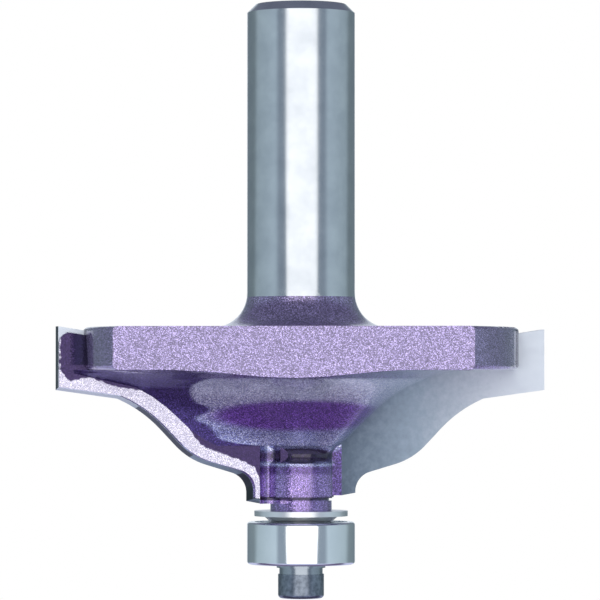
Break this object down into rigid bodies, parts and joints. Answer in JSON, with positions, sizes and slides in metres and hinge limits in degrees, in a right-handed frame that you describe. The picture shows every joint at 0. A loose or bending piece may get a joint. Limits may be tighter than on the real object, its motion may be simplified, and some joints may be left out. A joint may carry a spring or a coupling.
{
  "type": "router bit",
  "caption": "Winged ogee profile router bit with a straight shank, a round disc body and a ball-bearing guide on its lower end.",
  "frame": {"origin": "centre of the shank's end face", "axes": "+Z out of the shank's end along the tool's axis, so the tool hangs below the origin; +X towards the right wing, whose rake face looks along -Y"},
  "size_m": [0.0576, 0.0326, 0.0699],
  "materials": {
    "painted_steel": "violet metallic-flake paint under clear coat; the shank above the neck is bare ground steel",
    "carbide": "ground tungsten carbide, blue-grey satin",
    "washer_steel": "turned bright steel",
    "bearing_steel": "ground and polished bearing steel",
    "shield_steel": "pressed bright sheet steel",
    "cage_steel": "pressed bright sheet steel",
    "black_screw": "black oxide with worn bright edges"
  },
  "bodies": {
    "tool": {"cutter_body": "painted_steel", "carbide_tip_right": "carbide", "carbide_tip_left": "carbide", "thrust_washer": "washer_steel", "bearing_inner_ring": "bearing_steel", "flat_washer": "washer_steel", "lock_washer": "washer_steel", "bearing_screw": "black_screw"},
    "outer_race": {"bearing_outer_ring": "bearing_steel", "bearing_shield_upper": "shield_steel", "bearing_shield_lower": "shield_steel"},
    "cage": {"ball_cage": "cage_steel", "ball_1": "bearing_steel", "ball_2": "bearing_steel", "ball_3": "bearing_steel", "ball_4": "bearing_steel", "ball_5": "bearing_steel", "ball_6": "bearing_steel", "ball_7": "bearing_steel"}
  },
  "joints": [
    {"name": "outer_spin", "type": "hinge", "parent": "tool", "child": "outer_race", "pos_m": [0, 0, -0.06343], "axis": [0, 0, 1], "continuous": true},
    {"name": "cage_spin", "type": "hinge", "parent": "tool", "child": "cage", "pos_m": [0, 0, -0.06343], "axis": [0, 0, 1], "continuous": true}
  ],
  "couplings": [
    {"joint": "cage_spin", "follows": "outer_spin", "ratio": 0.63452}
  ]
}
